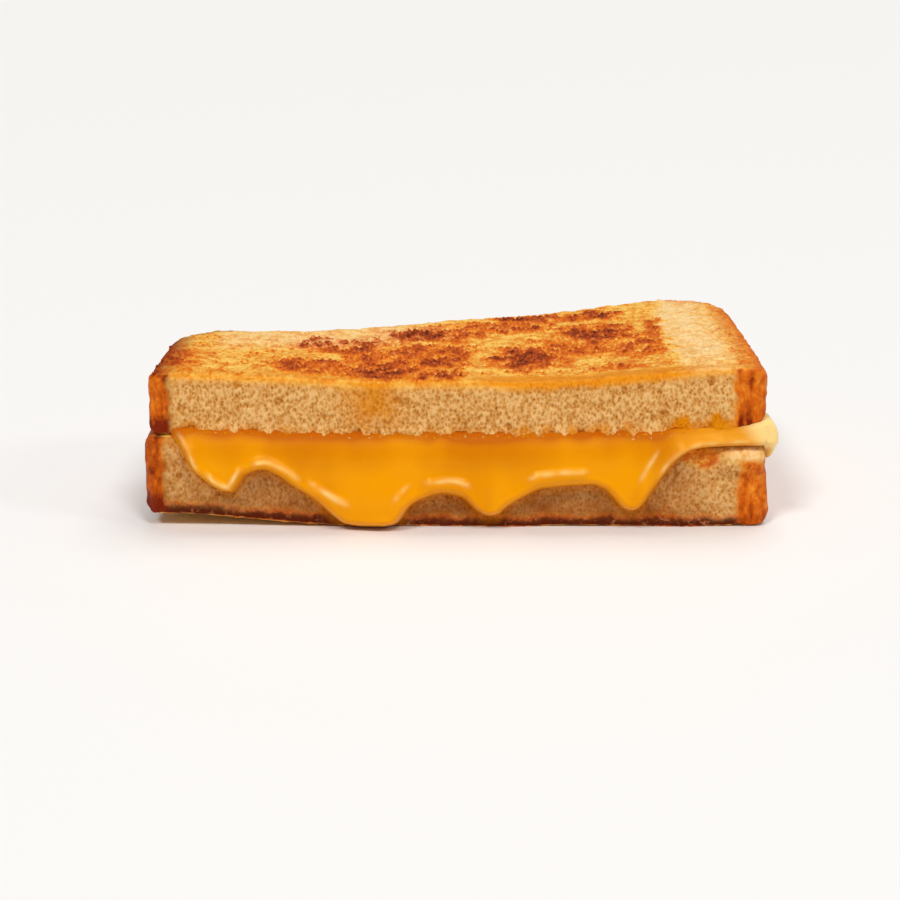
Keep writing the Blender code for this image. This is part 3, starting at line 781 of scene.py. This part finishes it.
def cheesePiece(finish):
    # a closed section carried along X: down behind the curtain, round its rim and up the front to the
    # seam, back along the top of the sheet, round its rear edge and forward along its underside
    c = cheese
    behindRows, frontRows, topRows, rearRows, underRows = c["rows"]
    leftRound, rightRound = c["endRadii"]
    turnIn = 1 - np.cos(np.radians(np.arange(0, 90, 10)))
    x = np.concatenate([c["left"] + leftRound * turnIn,
                        np.linspace(c["left"] + leftRound, c["right"] - rightRound, c["along"]),
                        (c["right"] - rightRound * turnIn)[::-1]])[:, None]
    fromLeft = ((x - c["left"] - leftRound) / leftRound).clip(-1, 0)
    fromRight = ((x - c["right"] + rightRound) / rightRound).clip(0, 1)
    shrink = np.sqrt(1 - fromLeft**2) * np.sqrt(1 - fromRight**2)
    tuck = c["tuck"] * ramp(x, 59.0, 60.6)
    front = sandwich["cut"] + c["inside"] + tuck
    low, high = cheeseUnderside(x), seamHigh(x, 0) + c["pressed"]
    centre = (low + high) / 2
    low, high = centre - (centre - low) * shrink, centre + (high - centre) * shrink
    half = (high - low) / 2
    ends = sandwich["upperEnds"]
    back = backEdge(np.clip(x, ends[0] + 1, ends[1] - 1), ends) - c["recess"]
    back = back + 0.6 * hills(x, 0 * x, 0 * x, (5, 1, 1), 31)
    back = back + (-2 - 4 * ramp(x, 61.4, 62.9) - back) * ramp(x, 60.8, 61.6)
    edge = np.minimum(cheeseEdge(x), low - 0.25 * shrink)
    edge = low + (edge - low) * shrink

    behindZ = low + (edge - low) * np.linspace(0, 1, behindRows + 1)[1:]
    frontZ = edge + (high - edge) * np.linspace(0, 1, frontRows + 1)[1:] ** 1.35
    stand, toEdge, paintedHighlight = curtain(x + 0 * frontZ, frontZ, edge, high, shrink)
    frontY = front - c["inside"] - stand - 0.85 * tuck * ramp(frontZ, 15.6, 17.8)
    frontY[[0, -1]] = front[[0, -1]]    # both ends close to a line
    turn = np.radians(np.linspace(90, -90, rearRows + 2))[1:-1]
    steps = np.linspace(0, 1, topRows + 1)[1:]
    forward = np.linspace(0, 1, underRows)
    rear = back - half
    lipY = frontY[:, -1:]
    y = np.hstack([front + 0 * behindZ, frontY, lipY + (rear - lipY) * steps, rear + half * np.cos(turn),
                   rear + (front - rear) * forward])
    z = np.hstack([behindZ, frontZ, high + 0 * steps, centre + half * np.sin(turn), low + 0 * forward])
    wide = x + 0 * y
    points = np.stack([lean(wide, y), y, z], -1)
    # the tongue past the end crust is fullest at the cut and dwindles unevenly behind it
    full = 1 - 0.5 * ramp(y, -27, -14) - 0.4 * ramp(y, -14, -5)
    full = full + 0.2 * hills(y, 0 * y, 0 * y, (4.5, 1, 1), 39)
    less = ramp(wide, 60.2, 61.2) * (1 - np.clip(full, 0.1, 1))
    points[..., 0] -= less * (wide - 60.4)
    points[..., 2] += less**1.5 * (centre - z)

    # at the ends the rows that meet share their points: those of the curtain, those round the rear
    # edge, and each row of the top with the one below it
    stations, around = y.shape
    index = np.arange(stations * around).reshape(stations, around)
    tips = [0, -1]
    curtainRows = behindRows + frontRows
    lastTop = curtainRows + topRows - 1
    rearStop = lastTop + rearRows + 2
    index[tips, :curtainRows] = index[tips, curtainRows - 1:curtainRows]
    index[tips, lastTop:rearStop] = index[tips, lastTop:lastTop + 1]
    index[tips, rearStop:] = index[tips, lastTop - 1:curtainRows - 2:-1]
    after = np.roll(index, -1, 1)
    first = np.stack([after[0], after[1], index[1], index[0]], -1)
    rest = np.stack([index[2:], index[1:-1], after[1:-1], after[2:]], -1).reshape(-1, 4)
    quads = np.concatenate([first, rest])
    quads = quads[(quads[:, 0] != quads[:, 3]) | (quads[:, 1] != quads[:, 2])]

    # tone: painted shade under the bread and along the lower edge, pale on the tongue, and a painted
    # highlight on the fold crests
    onFront = slice(behindRows, curtainRows)
    fromSeam = high - frontZ + 0.5 * hills(x + 0 * frontZ, 0 * frontZ, frontZ, (3, 1, 5), 37)
    # painted shade under the bread's overhang
    paintedShadeUnderBread = 0.7 * ramp(2.4 - fromSeam, 0, 2.4) + 0.42 * ramp(9 - fromSeam, 0, 7)
    deep = np.zeros_like(y)
    deep[:, :behindRows] = 0.6
    # painted shade along the down-facing lower edge
    deep[:, onFront] = np.maximum(paintedShadeUnderBread * (1 - 0.6 * ramp(x, 38, 50)), 0.6 * ramp(-toEdge, -1.3, 0))
    pale = ramp(wide + 0.8 * (z - 18), 55.5, 61)
    # painted highlight on the fold crests, in the tongue's pale colour
    pale[:, onFront] = np.maximum(pale[:, onFront], 0.75 * paintedHighlight * (1 - 0.4 * ramp(x, 38, 44)))
    pale = pale * (1 - 0.5 * ramp(y, -26, -12))
    notes = {"deep": deep.ravel(), "thin": 0.9 * ramp(wide, 38, 50).ravel(), "pale": pale.ravel()}
    addPiece("meltedCheese", points.reshape(-1, 3), quads, finish, "cheese", notes)


looseCrumbs = {
    "count": 90, "from": -52.0, "to": 44.0,
    "size": (0.16, 0.36),    # smallest and largest half width
    "hang": 0.45,            # how far below the seam they lie
    "proud": 1.1,            # how far off the cut
}


def crumbsPiece(finish):
    # small crumbs torn off along the seam and stuck to the cheese: lumpy balls of three rings of six
    # points and two poles
    c = looseCrumbs
    k = np.arange(c["count"])
    chance = [lattice(k, 0, n, 90) for n in range(6)]
    x = c["from"] + (c["to"] - c["from"]) * (k + 0.9 * chance[0]) / c["count"]
    down = c["hang"] * chance[1] ** 1.5
    y = sandwich["cut"] - c["proud"] - 1.2 * down
    centre = np.stack([x, y, seamHigh(x, 0) - 0.1 - down], -1)
    smallest, largest = c["size"]
    size = smallest + (largest - smallest) * chance[2] ** 2
    size = size[:, None] * np.stack([1 + 0.6 * chance[3], 0 * x + 0.9, 0.8 + 0.5 * chance[4]], -1)
    around = np.radians(np.arange(6) * 60)
    rings = [np.stack([np.cos(around) * np.sin(t), np.sin(around) * np.sin(t), 0 * around + np.cos(t)], -1)
             for t in np.radians((45, 90, 135))]
    ball = np.vstack([[(0, 0, 1)]] + rings + [[(0, 0, -1)]])
    lump = 0.7 + 0.6 * lattice(k[:, None], np.arange(len(ball))[None], 7, 91)
    points = centre[:, None] + size[:, None] * ball * lump[..., None]
    a = np.arange(6)
    b = (a + 1) % 6
    pole, lastPole = 0 * a, 0 * a + len(ball) - 1
    faces = [np.stack([pole, 1 + a, 1 + b, pole], -1)]
    faces += [np.stack([n + a, n + 6 + a, n + 6 + b, n + b], -1) for n in (1, 7)]
    faces += [np.stack([lastPole, 13 + b, 13 + a, lastPole], -1)]
    quads = (np.concatenate(faces)[None] + (k * len(ball))[:, None, None]).reshape(-1, 4)
    wet = np.repeat(ramp(chance[5], 0.0, 0.6), len(ball))
    notes = {"crumb": 1 + 0 * wet, "butter": 0.4 + 0.6 * wet}
    addPiece("seamCrumbs", points.reshape(-1, 3), quads, finish, None, notes)


breadFinish = pannedBread()
cheeseFinish = meltedCheddar()
print("finishes", breadFinish.name, cheeseFinish.name)
breadPiece("lowerSlice", "lower_slice", underside, seamLow, lowerSpec, breadFinish)
breadPiece("upperSlice", "upper_slice", seamHigh, topFace, upperSpec, breadFinish)
cheesePiece(cheeseFinish)
crumbsPiece(breadFinish)


room = {
    "floor": "#f4f2ef",
    "floorSize": 8.0,           # m
    "sky": 0.22,
    # azimuth, elevation and width in degrees, and strength in W/m2
    "lights": {"keyBox": (-30, 50, 14, 1.25), "windowBox": (24, 52, 14, 0.9),
               "sideBox": (66, 32, 10, 0.3), "overheadBox": (150, 70, 40, 1.05)},
    "aim": (0, -30, 15),        # mm
    "distance": 430,            # mm
    "elevation": 16,            # degrees
    "lens": 88,
    "shift": (-0.0083, 0.0042),    # the sandwich stands a little right of and below the middle
}

half = room["floorSize"] / 2
floorMesh = bpy.data.meshes.new("floor")
floorMesh.from_pydata([(-half, -half, 0), (half, -half, 0), (half, half, 0), (-half, half, 0)], [],
                      [(0, 1, 2, 3)])
floor = bpy.data.objects.new("floor", floorMesh)
bpy.context.scene.collection.objects.link(floor)
plain = bpy.data.materials.new("whiteTable")
plain.use_nodes = True
surface = plain.node_tree.nodes["Principled BSDF"].inputs
surface["Base Color"].default_value = linear(room["floor"])
surface["Roughness"].default_value = 0.6
floorMesh.materials.append(plain)

world = bpy.data.worlds.new("softRoom")
bpy.context.scene.world = world
world.use_nodes = True
sky = world.node_tree.nodes["Background"].inputs
sky["Color"].default_value = (1, 1, 1, 1)
sky["Strength"].default_value = room["sky"]


def softLight(name, azimuth, elevation, spread, strength):
    # a distant soft box: azimuth 0 is in front of the cut and turns to the right, and spread is how wide
    # it looks, in degrees
    lamp = bpy.data.lights.new(name, "SUN")
    lamp.angle = math.radians(spread)
    lamp.energy = strength
    lampObject = bpy.data.objects.new(name, lamp)
    bpy.context.scene.collection.objects.link(lampObject)
    lampObject.rotation_euler = (math.radians(90 - elevation), 0, math.radians(azimuth))


for name, light in room["lights"].items():
    softLight(name, *light)

view = bpy.data.cameras.new("camera")
view.lens = room["lens"]
view.sensor_width = 36
view.clip_start = 0.01
view.shift_x, view.shift_y = room["shift"]
camera = bpy.data.objects.new("camera", view)
tilt = math.radians(room["elevation"])
away = room["distance"] * mm
aimX, aimY, aimZ = (place * mm for place in room["aim"])
camera.location = (aimX, aimY - away * math.cos(tilt), aimZ + away * math.sin(tilt))
camera.rotation_euler = (math.pi / 2 - tilt, 0, 0)
bpy.context.scene.collection.objects.link(camera)
bpy.context.scene.camera = camera
bpy.context.scene.view_settings.view_transform = "Standard"
print("room", len(room["lights"]), "lights and the camera")
